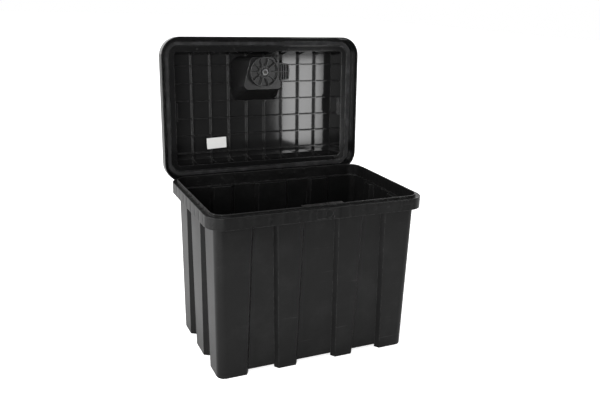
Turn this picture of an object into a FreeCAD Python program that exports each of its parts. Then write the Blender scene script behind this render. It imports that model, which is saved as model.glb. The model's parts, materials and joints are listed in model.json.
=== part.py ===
"""Truck bed toolbox: a ribbed moulded tub with a hinged lid and a quarter-turn latch.

The frame has +Z up, +Y to the back and its origin on the ground under the middle of the tub.
Lid pieces are drawn with the lid shut and then swung open about the hinge pins.
"""
import FreeCAD, Part
import math
import os
import Sketcher
from FreeCAD import Placement, Rotation, Vector

# Driving dimensions in millimetres, angles in degrees and counts
SIZES = {
    # rim of the tub
    "flange_width": 600,
    "flange_depth": 400,
    "flange_corner": 50,
    "flange_top": 440,
    "skirt_height": 30.5,
    "skirt_wall": 3,
    "skirt_round": 1.2,
    "web_drop": 0.8,
    "web_wall": 3,
    "lip_inset": 12.4,
    "lip_wall": 4,
    "lip_rise": 5.6,
    "lip_round": 1.8,
    "gusset_wall": 2.5,
    "gusset_pitch": 40,
    "gussets_front": 13,
    "gussets_side": 7,
    # walls of the tub
    "wall": 3.2,
    "body_inset_side": 20,
    "body_inset_front": 23.6,
    "body_corner": 22,
    "draft_side": 8.4,
    "draft_front": 3.4,
    "panel_depth": 12,
    "panel_slope": 8,
    "foot_height": 8,
    "middle_foot_diameter": 40,
    "middle_panel_top": 100,
    "middle_panel_foot": 117,
    "outer_panel_top_start": 119.6,
    "outer_panel_top_end": 186.6,
    "outer_panel_foot_start": 107.2,
    "outer_panel_foot_end": 196.5,
    "end_panel_top_start": 44,
    "end_panel_top_end": 87,
    "end_panel_foot_start": 34,
    "end_panel_foot_end": 97.5,
    # mark on the front of the rim
    "mark_width": 50,
    "mark_height": 24,
    "mark_depth": 1,
    "mark_lift": 3,
    "mark_corner": 2,
    "dimple_diameter": 20,
    "dimple_offset": 11,
    "dimple_depth": 0.6,
    # lid shell
    "lid_gap": 1.5,
    "lid_wall": 3,
    "lid_round": 2.4,
    "lid_overlap": 15,
    "land_width": 39,
    "seal_height": 5.8,
    "seal_width": 10,
    "seal_round": 2,
    "seal_gap": 0.4,
    "keep_rib_height": 3,
    "keep_rib_wall": 2,
    "roof_rise": 65,
    "roof_draft": 4.4,
    "roof_front_slope": 11.5,
    "roof_corner_low": 10,
    "roof_corner_high": 6,
    "roof_round": 4.5,
    "grid_pitch_across": 56.9,
    "grid_pitch_along": 51.6,
    "grid_first": 47.4,
    "grid_across": 8,
    "grid_along": 6,
    "grid_height": 12,
    "grid_wall": 2.4,
    "grid_root_low": 0.6,
    "grid_root_high": 1.6,
    "grid_drop": 5,
    "pip_diameter": 4,
    "pip_height": 2.5,
    "pip_inner": 84.5,
    "pip_outer": 195,
    "pip_setback": 30,
    "hanger_length": 55,
    "hanger_height": 12,
    "hanger_stand": 2.5,
    "hanger_rib": 2.5,
    "hanger_centre": 8,
    # hinges
    "open_angle": 92.6,
    "hinge_setback": 10,
    "hinge_drop": 25.5,
    "hinge_offset": 170,
    "leaf_width": 100,
    "leaf_wall": 3,
    "tub_leaf_low": 38,
    "tub_leaf_high": 16.5,
    "lid_leaf_low": 2,
    "lid_leaf_high": 27,
    "knuckle_radius": 6,
    "knuckle_length": 18,
    "knuckle_gap": 0.5,
    "lid_knuckle_length": 31,
    "pin_diameter": 5,
    "pin_head_diameter": 8,
    "pin_head_height": 1.6,
    "pin_fit": 0.04,
    "stop_width": 20,
    "stop_start": 8.5,
    "stop_reach": 16,
    "stop_wall": 4,
    "stop_gap": 0.3,
    "leaf_screw_offset": 42,
    "leaf_screw_diameter": 4.5,
    "leaf_screw_head": 9,
    "leaf_screw_head_height": 2.6,
    "leaf_screw_length": 10,
    "tub_screw_drop": 26.5,
    "lid_screw_rise": 6.5,
    # keeper in the front lip
    "keeper_width": 113,
    "keeper_reach": 11.6,
    "keeper_wall": 3,
    "keeper_leg_height": 18.5,
    "keeper_window": 60,
    "rivet_offset": 48,
    "rivet_drop": 14,
    "rivet_diameter": 4,
    "rivet_head": 8,
    "rivet_head_height": 2,
    # latch dish in the roof
    "latch_setback": 96,
    "dish_width": 150,
    "dish_front": 41,
    "dish_back": 89.5,
    "dish_corner": 26,
    "dish_floor_back_width": 124,
    "dish_floor_front_width": 74,
    "dish_floor_front": 42,
    "dish_floor_back": 51.5,
    "dish_floor_corner": 14,
    "dish_floor_gap": 4.2,
    "dish_wall": 3,
    "dish_rim_width": 8,
    "dish_rim_wall": 3,
    "dish_play": 0.5,
    "gasket_wall": 1,
    "dish_screw_front": -16,
    "dish_screw_middle": 49,
    "dish_screw_back": 30,
    "dish_screw_outset": 4.5,
    "dish_screw_diameter": 3.5,
    "dish_screw_head": 6.6,
    "dish_screw_head_height": 2,
    "dish_screw_length": 10,
    "boss_diameter": 8,
    "boss_height": 8,
    # latch mechanism
    "arm_gap": 0.3,
    "cam_thickness": 12.3,
    "cam_radius": 44,
    "cam_web": 3.4,
    "cam_rim": 2.6,
    "cam_rib": 2,
    "cam_ribs": 10,
    "hub_radius": 17,
    "hub_bore_radius": 13,
    "arm_reach": 78.5,
    "arm_nose_width": 45,
    "arm_root_width": 62,
    "arm_ribs": 3,
    "arm_end_wall": 4.2,
    "arm_side_wall": 2.9,
    "shaft_diameter": 16,
    "shaft_fit": 0.05,
    "square_side": 11,
    "square_fit": 0.04,
    "thread_diameter": 10,
    "nut_flats": 17,
    "nut_height": 8,
    "thread_end": 2,
    "washer_diameter": 30,
    "washer_wall": 1.5,
    "running_gap": 0.2,
    "bush_diameter": 22,
    "bush_flange_diameter": 36,
    "bush_flange_wall": 4,
    "ring_section": 2.4,
    "ring_radius": 12.2,
    "handle_hub_diameter": 44,
    "handle_height": 43,
    "handle_clear": 3,
    "handle_width": 28,
    "handle_tip_width": 20,
    "handle_tip_round": 7,
    "handle_lift": 14,
    "handle_drop": 4.5,
    "handle_round": 3,
    "handle_socket": 20,
    "barrel_diameter": 18,
    "barrel_flange_diameter": 23,
    "barrel_flange_wall": 1.5,
    "barrel_length": 20,
    "plug_diameter": 12,
    "plug_fit": 0.05,
    "plug_length": 17,
    "key_slot_length": 8,
    "key_slot_width": 1.8,
    "key_slot_depth": 12,
    "cap_diameter": 25,
    "cap_wall": 2.5,
    "cap_gap": 0.2,
    "cap_pivot": 16.5,
    "cap_pin_diameter": 3,
    "cap_pin_head": 6,
    "cap_pin_head_height": 1.2,
    "cap_pin_depth": 8,
    # label
    "label_width": 61,
    "label_height": 33,
    "label_wall": 0.3,
    "label_across": -128,
    "label_along": 110,
    "label_turn": -2.5,
}

# Shares: a screw head's straight edge in its height, and its point's length in its radius
SCREW_HEAD_EDGE = 0.4
SCREW_POINT = 1.6

doc = FreeCAD.newDocument("TruckBedToolbox")
sheet = doc.addObject("Spreadsheet::Sheet", "Sizes")


class Size:
    """A length worked out from the sheet: its value now and the expression that keeps it bound."""

    def __init__(self, text, value):
        self.text = text
        self.value = float(value)

    def __add__(self, other):
        other = as_size(other)
        return Size(f"({self.text} + {other.text})", self.value + other.value)

    def __sub__(self, other):
        other = as_size(other)
        return Size(f"({self.text} - {other.text})", self.value - other.value)

    def __mul__(self, other):
        other = as_size(other)
        return Size(f"({self.text} * {other.text})", self.value * other.value)

    def __truediv__(self, other):
        other = as_size(other)
        return Size(f"({self.text} / {other.text})", self.value / other.value)

    def __neg__(self):
        return Size(f"(0 - {self.text})", -self.value)

    def __radd__(self, other):
        return as_size(other) + self

    def __rsub__(self, other):
        return as_size(other) - self

    def __rmul__(self, other):
        return as_size(other) * self


def as_size(value):
    """Lets plain numbers, such as a half, stand in sums of sizes."""
    return value if isinstance(value, Size) else Size(repr(value), value)


class Sheet:
    """Gives each cell of the sheet as a Size under its alias."""


s = Sheet()
for line, (alias, number) in enumerate(SIZES.items(), start=1):
    sheet.set(f"A{line}", alias)
    sheet.set(f"B{line}", str(number))
    sheet.setAlias(f"B{line}", alias)
    setattr(s, alias, Size(f"Sizes.{alias}", number))
doc.recompute()

ZERO = as_size(0)
parts = []

# Levels, up from the ground
rim_under = s.flange_top - s.skirt_height
ledge_top = rim_under + s.wall
web_top = s.flange_top - s.web_drop
lip_top = s.flange_top + s.lip_rise
lid_low = s.flange_top - s.lid_overlap
land_level = lip_top + s.seal_gap + s.seal_height
shoulder_top = land_level + s.lid_wall
ceiling = land_level + s.roof_rise
roof_top = ceiling + s.lid_wall
keeper_under = lip_top - s.keeper_wall
cam_top = keeper_under - s.arm_gap
cam_low = cam_top - s.cam_thickness
dish_low = cam_top + s.dish_floor_gap
dish_floor = dish_low + s.dish_wall
bush_low = cam_top + s.washer_wall + s.running_gap
bush_top = dish_floor + s.bush_flange_wall
handle_low = bush_top + s.running_gap
handle_top = handle_low + s.handle_height
lever_low = handle_low + s.handle_lift
lever_high = handle_top - s.handle_drop
rim_low = roof_top + s.gasket_wall
rim_top = rim_low + s.dish_rim_wall

# Half sizes of the plan
flange_x = s.flange_width / 2
flange_y = s.flange_depth / 2
body_x = flange_x - s.body_inset_side
body_y = flange_y - s.body_inset_front
foot_x = body_x - s.draft_side
foot_y = body_y - s.draft_front
lid_x = flange_x + s.lid_gap + s.lid_wall
lid_y = flange_y + s.lid_gap + s.lid_wall
lid_corner = s.flange_corner + s.lid_gap + s.lid_wall
lip_middle = s.lip_inset + s.lip_wall / 2
seal_x = flange_x - lip_middle
seal_y = flange_y - lip_middle
seal_corner = s.flange_corner - lip_middle
land_x = lid_x - s.lid_wall - s.land_width
land_y = lid_y - s.lid_wall - s.land_width
ceiling_x = land_x - s.roof_draft
ceiling_back = land_y - s.roof_draft
ceiling_front = -(land_y - s.roof_front_slope)

# Axes
hinge_y = flange_y + s.hinge_setback
hinge_z = s.flange_top - s.hinge_drop
latch_y = s.latch_setback - flange_y

# The lever ends short of the dish's side wall, which slopes outwards in plan and in height
well_slant = (s.dish_floor_back_width - s.dish_floor_front_width) / 2 / (s.dish_floor_front + s.dish_floor_back)
well_low_half = s.dish_floor_front_width / 2 + well_slant * (s.dish_floor_front - s.handle_width / 2)
well_share = (lever_low - dish_floor) / (rim_top - dish_floor)
well_half = well_low_half + (s.dish_width / 2 - well_low_half) * well_share - s.dish_wall
lever_reach = well_half - s.handle_clear


def new_body(label):
    """Starts a sub-part: its label names its file."""
    body = doc.addObject("PartDesign::Body", label)
    body.Label = label
    parts.append(body)
    return body


def origin_feature(body, role):
    """The body's own origin plane or axis with this role."""
    return next(item for item in body.Origin.OriginFeatures if item.Role == role)


def new_sketch(body, name, plane="XY_Plane", level=ZERO):
    """A sketch on one of the body's origin planes, moved along its normal by level."""
    sketch = body.newObject("Sketcher::SketchObject", name)
    sketch.AttachmentSupport = [(origin_feature(body, plane), "")]
    sketch.MapMode = "FlatFace"
    sketch.setExpression("AttachmentOffset.Base.z", level.text)
    return sketch


def fix_point(sketch, geometry, point, x, y):
    """Ties a point of a sketch to its two sizes, measured from the origin."""
    for kind, size in (("DistanceX", x), ("DistanceY", y)):
        index = sketch.addConstraint(Sketcher.Constraint(kind, -1, 1, geometry, point, size.value))
        sketch.setExpression(f"Constraints[{index}]", size.text)


def circle(sketch, x, y, radius):
    """A circle tied to its centre and radius."""
    centre = Vector(x.value, y.value, 0)
    geometry = sketch.addGeometry(Part.Circle(centre, Vector(0, 0, 1), radius.value), False)
    fix_point(sketch, geometry, 3, x, y)
    index = sketch.addConstraint(Sketcher.Constraint("Radius", geometry, radius.value))
    sketch.setExpression(f"Constraints[{index}]", radius.text)


def outline(sketch, points, radius=None):
    """A closed outline through points, with every corner rounded where a radius is given."""
    count = len(points)
    corners = [Vector(x.value, y.value, 0) for x, y in points]
    starts = list(corners)
    ends = list(corners)
    middles = list(corners)
    if radius is not None:
        for i, corner in enumerate(corners):
            before = (corners[i - 1] - corner).normalize()
            after = (corners[(i + 1) % count] - corner).normalize()
            half = before.getAngle(after) / 2
            middle = (before + after).normalize()
            starts[i] = corner + before * (radius.value / math.tan(half))
            ends[i] = corner + after * (radius.value / math.tan(half))
            middles[i] = corner + middle * (radius.value / math.sin(half) - radius.value)
    lines = []
    for i in range(count):
        segment = Part.LineSegment(ends[i], starts[(i + 1) % count])
        lines.append(sketch.addGeometry(segment, False))
    for i, (x, y) in enumerate(points):
        before = lines[i - 1]
        after = lines[i]
        if radius is None:
            sketch.addConstraint(Sketcher.Constraint("Coincident", before, 2, after, 1))
            fix_point(sketch, after, 1, x, y)
            continue
        arc = sketch.addGeometry(Part.Arc(starts[i], middles[i], ends[i]), False)
        forward = sketch.Geometry[arc].StartPoint.distanceToPoint(starts[i]) < 1e-6
        first, last = (1, 2) if forward else (2, 1)
        sketch.addConstraint(Sketcher.Constraint("Tangent", before, 2, arc, first))
        sketch.addConstraint(Sketcher.Constraint("Tangent", after, 1, arc, last))
        index = sketch.addConstraint(Sketcher.Constraint("Radius", arc, radius.value))
        sketch.setExpression(f"Constraints[{index}]", radius.text)
        corner = sketch.addGeometry(Part.Point(corners[i]), True)
        fix_point(sketch, corner, 1, x, y)
        sketch.addConstraint(Sketcher.Constraint("PointOnObject", corner, 1, before))
        sketch.addConstraint(Sketcher.Constraint("PointOnObject", corner, 1, after))


def rectangle(sketch, left, right, low, high, radius=None):
    """A rectangle between four sizes, with rounded corners where a radius is given."""
    outline(sketch, [(left, low), (right, low), (right, high), (left, high)], radius)


def centred(sketch, half_x, half_y, radius=None):
    """A rectangle about the origin."""
    rectangle(sketch, -half_x, half_x, -half_y, half_y, radius)


def pad(body, sketch, length, downward=False, cut=False):
    """Adds or cuts a straight prism of a sketch, along the sketch's normal or against it."""
    kind = "PartDesign::Pocket" if cut else "PartDesign::Pad"
    feature = body.newObject(kind, "Prism")
    feature.Profile = sketch
    feature.setExpression("Length", length.text)
    # A pocket cuts against the sketch's normal by itself
    feature.Reversed = downward != cut
    return feature


def prism(body, low, high, draw, cut=False, plane="XY_Plane"):
    """Adds or cuts a prism between two levels of a plane, with the outline that draw makes."""
    sketch = new_sketch(body, "Outline", plane, low)
    draw(sketch)
    return pad(body, sketch, high - low, cut=cut)


def loft(body, low, high, draw_low, draw_high, cut=False):
    """Adds or cuts a tapered block between two levels."""
    lower = new_sketch(body, "Lower", level=low)
    draw_low(lower)
    upper = new_sketch(body, "Upper", level=high)
    draw_high(upper)
    feature = body.newObject("PartDesign::SubtractiveLoft" if cut else "PartDesign::AdditiveLoft", "Taper")
    feature.Profile = lower
    feature.Sections = [upper]
    feature.Ruled = True
    return feature


def mirror(body, features, plane):
    """Repeats features on the other side of one of the body's origin planes."""
    feature = body.newObject("PartDesign::Mirrored", "Mirror")
    feature.Originals = features
    feature.MirrorPlane = (origin_feature(body, plane), [""])
    body.Tip = feature
    return feature


def mirror_both(body, features):
    """Repeats features to the left and right and to the front and back."""
    feature = body.newObject("PartDesign::MultiTransform", "Quarters")
    steps = []
    for plane in ("XZ_Plane", "YZ_Plane"):
        step = doc.addObject("PartDesign::Mirrored", "Step")
        step.MirrorPlane = (origin_feature(body, plane), [""])
        steps.append(step)
    feature.Originals = features
    feature.Transformations = steps
    body.Tip = feature
    return feature


def mirror_row(body, features, plane, axis, pitch, count):
    """Repeats features along an axis and again on the other side of a plane."""
    feature = body.newObject("PartDesign::MultiTransform", "Rows")
    pattern = doc.addObject("PartDesign::LinearPattern", "Step")
    pattern.Direction = (origin_feature(body, axis), [""])
    pattern.setExpression("Length", (pitch * (count - 1)).text)
    pattern.setExpression("Occurrences", count.text)
    other = doc.addObject("PartDesign::Mirrored", "Step")
    other.MirrorPlane = (origin_feature(body, plane), [""])
    feature.Originals = features
    feature.Transformations = [pattern, other]
    body.Tip = feature
    return feature


def row(body, features, axis, pitch, count):
    """Repeats features along one of the body's origin axes."""
    feature = body.newObject("PartDesign::LinearPattern", "Row")
    feature.Originals = features
    feature.Direction = (origin_feature(body, axis), [""])
    feature.setExpression("Length", (pitch * (count - 1)).text)
    feature.setExpression("Occurrences", count.text)
    body.Tip = feature
    return feature


def round_edges(body, radius, wanted):
    """Fillets the edges of the body so far that wanted picks by their bounds."""
    doc.recompute()
    base = body.Tip
    names = []
    for index, edge in enumerate(base.Shape.Edges, start=1):
        if wanted(edge):
            names.append(f"Edge{index}")
    feature = body.newObject("PartDesign::Fillet", "Round")
    feature.Base = (base, names)
    feature.setExpression("Radius", radius.text)
    return feature


def swing_open(part):
    """Turns a lid piece, drawn shut, about the hinge pins to where the lid stands open."""
    pivot = Vector(0, hinge_y.value, hinge_z.value)
    turn = Rotation(Vector(1, 0, 0), -s.open_angle.value)
    part.Placement = Placement(Vector(), turn, pivot).multiply(part.Placement)


def feature_part(label, shape):
    """A sub-part whose shape is made here from the sheet's sizes."""
    part = doc.addObject("Part::Feature", label)
    part.Label = label
    part.Shape = shape
    parts.append(part)
    return part


def ring(body, low, high, outer_inset, inner_inset):
    """Adds a ring round the rim between two distances in from the flange's edge."""

    def draw(sketch):
        for inset in (outer_inset, inner_inset):
            centred(sketch, flange_x - inset, flange_y - inset, s.flange_corner - inset)

    return prism(body, low, high, draw)


def panel(body, place, faces, depth, grow, top, cut, top_edges, foot_edges):
    """One sunk panel or the wall behind it; place turns distances along and out of the wall into x and y."""
    outward = s.panel_slope if cut else -s.panel_slope * s.wall / 2 / s.panel_depth
    inward = s.panel_slope * depth / s.panel_depth
    sections = []
    for level, (start, end), face in ((ZERO, foot_edges, faces[0]), (top, top_edges, faces[1])):
        near = face + s.panel_depth if cut else face - s.wall / 2
        far = face - depth
        corners = [
            (start - grow - outward, near),
            (end + grow + outward, near),
            (end + grow - inward, far),
            (start - grow + inward, far),
        ]
        sketch = new_sketch(body, "PanelSection", level=level)
        outline(sketch, [place(along, out) for along, out in corners])
        sections.append(sketch)
    feature = body.newObject("PartDesign::SubtractiveLoft" if cut else "PartDesign::AdditiveLoft", "Panel")
    feature.Profile = sections[0]
    feature.Sections = [sections[1]]
    feature.Ruled = True
    return feature


def on_front(along, out):
    """A point of the front wall, from its distances along the wall and out from the middle."""
    return along, -out


def on_end(along, out):
    """A point of the right-hand wall, from its distances along the wall and out from the middle."""
    return out, along


def rivet_holes(sketch):
    """Draws the holes of the keeper's two rivets."""
    for side in (-1, 1):
        circle(sketch, side * s.rivet_offset, lip_top - s.rivet_drop, s.rivet_diameter / 2)


def foot_gaps(sketch, inward, front_edges, end_edges):
    """Rectangles under the panels of all four walls, each reaching inward past its wall."""
    for side in (-1, 1):
        for left, right in front_edges:
            for way in ((1,) if left.value < 0 else (1, -1)):
                near = way * (left + s.panel_slope)
                far = way * (right - s.panel_slope)
                first, last = (near, far) if way > 0 else (far, near)
                outer = side * (foot_y + s.wall)
                inner = side * (foot_y - inward)
                low, high = (inner, outer) if side > 0 else (outer, inner)
                rectangle(sketch, first, last, low, high)
        for way in (1, -1):
            near = way * (end_edges[0] + s.panel_slope)
            far = way * (end_edges[1] - s.panel_slope)
            low, high = (near, far) if way > 0 else (far, near)
            outer = side * (foot_x + s.wall)
            inner = side * (foot_x - inward)
            left, right = (inner, outer) if side > 0 else (outer, inner)
            rectangle(sketch, left, right, low, high)


def leaf_screw_holes(level):
    """Draws the four holes of both hinges' screws at a level."""

    def draw(sketch):
        for side in (-1, 1):
            for offset in (-1, 1):
                across = side * s.hinge_offset + offset * s.leaf_screw_offset
                circle(sketch, across, level, s.leaf_screw_diameter / 2)

    return draw


def make_tub_shell():
    """The tub: one wall thickness throughout, with sunk panels, feet and a hollow rim."""
    body = new_body("tub_shell")
    # Outer form and cavity
    loft(
        body, ZERO, ledge_top,
        lambda sketch: centred(sketch, foot_x, foot_y, s.body_corner),
        lambda sketch: centred(sketch, body_x, body_y, s.body_corner),
    )
    inner_corner = s.body_corner - s.wall
    loft(
        body, s.wall, ledge_top,
        lambda sketch: centred(sketch, foot_x - s.wall, foot_y - s.wall, inner_corner),
        lambda sketch: centred(sketch, body_x - s.wall, body_y - s.wall, inner_corner),
        cut=True,
    )
    # Rim: ledge, lip, web and skirt
    prism(body, rim_under, ledge_top, lambda sketch: (
        centred(sketch, flange_x - lip_middle, flange_y - lip_middle, s.flange_corner - lip_middle),
        centred(sketch, body_x - s.wall / 2, body_y - s.wall / 2, s.body_corner - s.wall / 2)))
    ring(body, rim_under, lip_top, s.lip_inset, s.lip_inset + s.lip_wall)
    round_edges(body, s.lip_round, lambda edge: level_edge(edge, lip_top))
    ring(body, web_top - s.web_wall, web_top, s.skirt_wall / 2, lip_middle)
    ring(body, rim_under, s.flange_top, ZERO, s.skirt_wall)
    # Gussets inside the hollow of the rim
    gusset_low = rim_under + s.wall
    gusset_high = web_top - s.web_wall / 2
    start = -s.gusset_pitch * (s.gussets_front - 1) / 2
    gusset = prism(body, gusset_low, gusset_high, lambda sketch: rectangle(
        sketch, start - s.gusset_wall / 2, start + s.gusset_wall / 2,
        -flange_y + s.skirt_wall / 2, -flange_y + lip_middle))
    mirror_row(body, [gusset], "XZ_Plane", "X_Axis", s.gusset_pitch, s.gussets_front)
    start = -s.gusset_pitch * (s.gussets_side - 1) / 2
    gusset = prism(body, gusset_low, gusset_high, lambda sketch: rectangle(
        sketch, flange_x - lip_middle, flange_x - s.skirt_wall / 2,
        start - s.gusset_wall / 2, start + s.gusset_wall / 2))
    mirror_row(body, [gusset], "YZ_Plane", "Y_Axis", s.gusset_pitch, s.gussets_side)
    # Sunk mark with a dimple on the front of the skirt
    mark_high = s.flange_top - s.mark_lift
    mark_low = mark_high - s.mark_height
    prism(body, flange_y - s.mark_depth, flange_y, lambda sketch: rectangle(
        sketch, -s.mark_width / 2, s.mark_width / 2, mark_low, mark_high, s.mark_corner),
        cut=True, plane="XZ_Plane")
    dimple_z = (mark_low + mark_high) / 2
    prism(body, flange_y - s.mark_depth - s.dimple_depth, flange_y, lambda sketch: circle(
        sketch, s.dimple_offset, dimple_z, s.dimple_diameter / 2), cut=True, plane="XZ_Plane")
    # Holes for the keeper's rivets, from the front of the lip to its back
    prism(body, flange_y - s.lip_inset - s.lip_wall * 2, flange_y - s.lip_inset + s.lip_wall,
          rivet_holes, cut=True, plane="XZ_Plane")
    # Holes for the hinge screws through the back of the skirt
    prism(body, -flange_y - s.wall, -flange_y + s.skirt_wall * 2, leaf_screw_holes(
        s.flange_top - s.tub_screw_drop), cut=True, plane="XZ_Plane")
    round_edges(body, s.skirt_round, lambda edge: level_edge(edge, s.flange_top)
                and reaches(edge, flange_x, flange_y))
    # Raised floor, hollow below, that leaves the feet standing round the edge
    riser = s.panel_depth + s.wall
    prism(body, s.wall / 2, s.foot_height + s.wall,
          lambda sketch: centred(sketch, foot_x - s.panel_depth, foot_y - s.panel_depth, s.body_corner / 2))
    prism(body, ZERO, s.foot_height,
          lambda sketch: centred(sketch, foot_x - riser, foot_y - riser, s.body_corner / 3), cut=True)
    prism(body, ZERO, s.foot_height + s.wall / 2, lambda sketch: circle(
        sketch, ZERO, ZERO, s.middle_foot_diameter / 2))
    # Panels: first the wall behind each one, then the hollow in front of it
    middle_top = (-s.middle_panel_top / 2, s.middle_panel_top / 2)
    middle_foot = (-s.middle_panel_foot / 2, s.middle_panel_foot / 2)
    outer_top = (s.outer_panel_top_start, s.outer_panel_top_end)
    outer_foot = (s.outer_panel_foot_start, s.outer_panel_foot_end)
    end_top = (s.end_panel_top_start, s.end_panel_top_end)
    end_foot = (s.end_panel_foot_start, s.end_panel_foot_end)
    front_faces = (foot_y, body_y)
    end_faces = (foot_x, body_x)
    for depth, grow, top, cut in ((riser, s.wall, ledge_top, False), (s.panel_depth, ZERO, rim_under, True)):
        middle = panel(body, on_front, front_faces, depth, grow, top, cut, middle_top, middle_foot)
        mirror(body, [middle], "XZ_Plane")
        outer = panel(body, on_front, front_faces, depth, grow, top, cut, outer_top, outer_foot)
        mirror_both(body, [outer])
        end = panel(body, on_end, end_faces, depth, grow, top, cut, end_top, end_foot)
        mirror_both(body, [end])
    # The panels end above the ground, so the ribs between them stand as feet
    prism(body, ZERO, s.foot_height, lambda sketch: foot_gaps(
        sketch, riser + s.wall / 2, (middle_foot, outer_foot), end_foot), cut=True)
    return body


def level_edge(edge, level):
    """True where an edge lies flat at a level."""
    box = edge.BoundBox
    return abs(box.ZMin - level.value) < 1e-4 and abs(box.ZMax - level.value) < 1e-4


def reaches(edge, half_x, half_y):
    """True where an edge is on the outline with these half sizes, straight or at a corner."""
    box = edge.BoundBox
    far_x = max(abs(box.XMin), abs(box.XMax))
    far_y = max(abs(box.YMin), abs(box.YMax))
    return abs(far_x - half_x.value) < 1e-3 or abs(far_y - half_y.value) < 1e-3


def make_keeper():
    """The ledge inside the front lip that the latch's arm slides under."""
    body = new_body("latch_keeper")
    lip_face = -flange_y + s.lip_inset + s.lip_wall
    prism(body, keeper_under, lip_top, lambda sketch: rectangle(
        sketch, -s.keeper_width / 2, s.keeper_width / 2, lip_face, lip_face + s.keeper_reach))
    leg = prism(body, keeper_under - s.keeper_leg_height, keeper_under, lambda sketch: rectangle(
        sketch, s.keeper_window / 2, s.keeper_width / 2, lip_face, lip_face + s.keeper_wall))
    mirror(body, [leg], "YZ_Plane")
    prism(body, -lip_face - s.keeper_reach, -lip_face, rivet_holes, cut=True, plane="XZ_Plane")
    return body


def turned(profile, axis_point, axis):
    """A solid turned from a closed half profile of (radius, height) points about +Z, then placed."""
    points = [Vector(radius, 0, height) for radius, height in profile]
    face = Part.Face(Part.makePolygon(points + points[:1]))
    solid = face.revolve(Vector(), Vector(0, 0, 1), 360)
    solid.Placement = Placement(axis_point, Rotation(Vector(0, 0, 1), axis))
    return solid


def domed(radius, height, steps=6):
    """Points of a low dome from its rim to its crown, for a turned profile."""
    return [(radius * math.cos(math.pi / 2 * i / steps), height * math.sin(math.pi / 2 * i / steps))
            for i in range(1, steps + 1)]


def make_keeper_rivets():
    """Two rivets that hold the keeper's legs to the lip, domed on both sides."""
    lip_back = -flange_y.value + s.lip_inset.value
    leg_face = lip_back + s.lip_wall.value + s.keeper_wall.value
    grip = leg_face - lip_back
    shank = s.rivet_diameter.value / 2
    head = s.rivet_head.value / 2
    rise = s.rivet_head_height.value
    profile = [(0, -rise)]
    profile += [(radius, -height) for radius, height in reversed(domed(head, rise)[:-1])]
    profile += [(head, 0), (shank, 0), (shank, grip), (head, grip)]
    profile += [(radius, grip + height) for radius, height in domed(head, rise)[:-1]]
    profile += [(0, grip + rise)]
    level = (lip_top - s.rivet_drop).value
    rivets = []
    for side in (-1, 1):
        point = Vector(side * s.rivet_offset.value, lip_back, level)
        rivets.append(turned(profile, point, Vector(0, 1, 0)))
    return feature_part("keeper_rivets", Part.makeCompound(rivets))


def hinge_x(side):
    """Where the middle of the left (-1) or right (1) hinge stands."""
    return side * s.hinge_offset


def make_tub_leaf(side, label):
    """The leaf screwed to the back of the tub's rim, with two knuckles and the lid's stop."""
    body = new_body(label)
    middle = hinge_x(side)
    back = flange_y + s.leaf_wall
    low = s.flange_top - s.tub_leaf_low
    high = s.flange_top - s.tub_leaf_high
    prism(body, low, high, lambda sketch: rectangle(
        sketch, middle - s.leaf_width / 2, middle + s.leaf_width / 2, flange_y, back))
    first = s.lid_knuckle_length / 2 + s.knuckle_gap
    for start in (middle + first, middle - first - s.knuckle_length):
        prism(body, start, start + s.knuckle_length, lambda sketch: rectangle(
            sketch, flange_y + s.leaf_wall / 2, hinge_y, hinge_z - s.knuckle_radius, hinge_z + s.knuckle_radius),
            plane="YZ_Plane")
        prism(body, start, start + s.knuckle_length, lambda sketch: circle(
            sketch, hinge_y, hinge_z, s.knuckle_radius), plane="YZ_Plane")
    # The stop that the open lid's leaf comes to rest on
    lean = math.tan(math.radians(s.open_angle.value - 90))
    leaf_face = s.hinge_setback - s.lid_gap - s.lid_wall - s.leaf_wall
    stop_high = hinge_z + leaf_face - s.stop_reach * lean - s.stop_gap
    prism(body, middle - s.stop_width / 2, middle + s.stop_width / 2, lambda sketch: outline(sketch, [
        (flange_y + s.leaf_wall / 2, low),
        (hinge_y + s.stop_reach, low),
        (hinge_y + s.stop_reach, stop_high),
        (hinge_y + s.stop_start, stop_high),
        (hinge_y + s.stop_start, low + s.stop_wall),
        (flange_y + s.leaf_wall / 2, low + s.stop_wall),
    ]), plane="YZ_Plane")
    hole = s.pin_diameter / 2
    prism(body, middle - s.leaf_width / 2, middle + s.leaf_width / 2, lambda sketch: circle(
        sketch, hinge_y, hinge_z, hole), cut=True, plane="YZ_Plane")
    for offset in (-1, 1):
        prism(body, -back - s.leaf_wall, -flange_y + s.leaf_wall, lambda sketch: circle(
            sketch, middle + offset * s.leaf_screw_offset, s.flange_top - s.tub_screw_drop,
            s.leaf_screw_diameter / 2), cut=True, plane="XZ_Plane")
    return body


def make_lid_leaf(side, label):
    """The leaf screwed to the back of the lid's skirt, with one knuckle between the tub's two."""
    body = new_body(label)
    middle = hinge_x(side)
    face = lid_y
    back = lid_y + s.leaf_wall
    low = lid_low + s.lid_leaf_low
    high = lid_low + s.lid_leaf_high
    prism(body, low, high, lambda sketch: rectangle(
        sketch, middle - s.leaf_width / 2, middle + s.leaf_width / 2, face, back))
    half = s.lid_knuckle_length / 2
    prism(body, hinge_z, low + s.leaf_wall, lambda sketch: rectangle(
        sketch, middle - half, middle + half, face, back))
    prism(body, middle - half, middle + half, lambda sketch: circle(
        sketch, hinge_y, hinge_z, s.knuckle_radius), plane="YZ_Plane")
    prism(body, middle - s.leaf_width / 2, middle + s.leaf_width / 2, lambda sketch: circle(
        sketch, hinge_y, hinge_z, s.pin_diameter / 2 + s.pin_fit), cut=True, plane="YZ_Plane")
    for offset in (-1, 1):
        prism(body, -back - s.leaf_wall, -face + s.leaf_wall, lambda sketch: circle(
            sketch, middle + offset * s.leaf_screw_offset, s.flange_top + s.lid_screw_rise,
            s.leaf_screw_diameter / 2), cut=True, plane="XZ_Plane")
    return body


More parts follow.
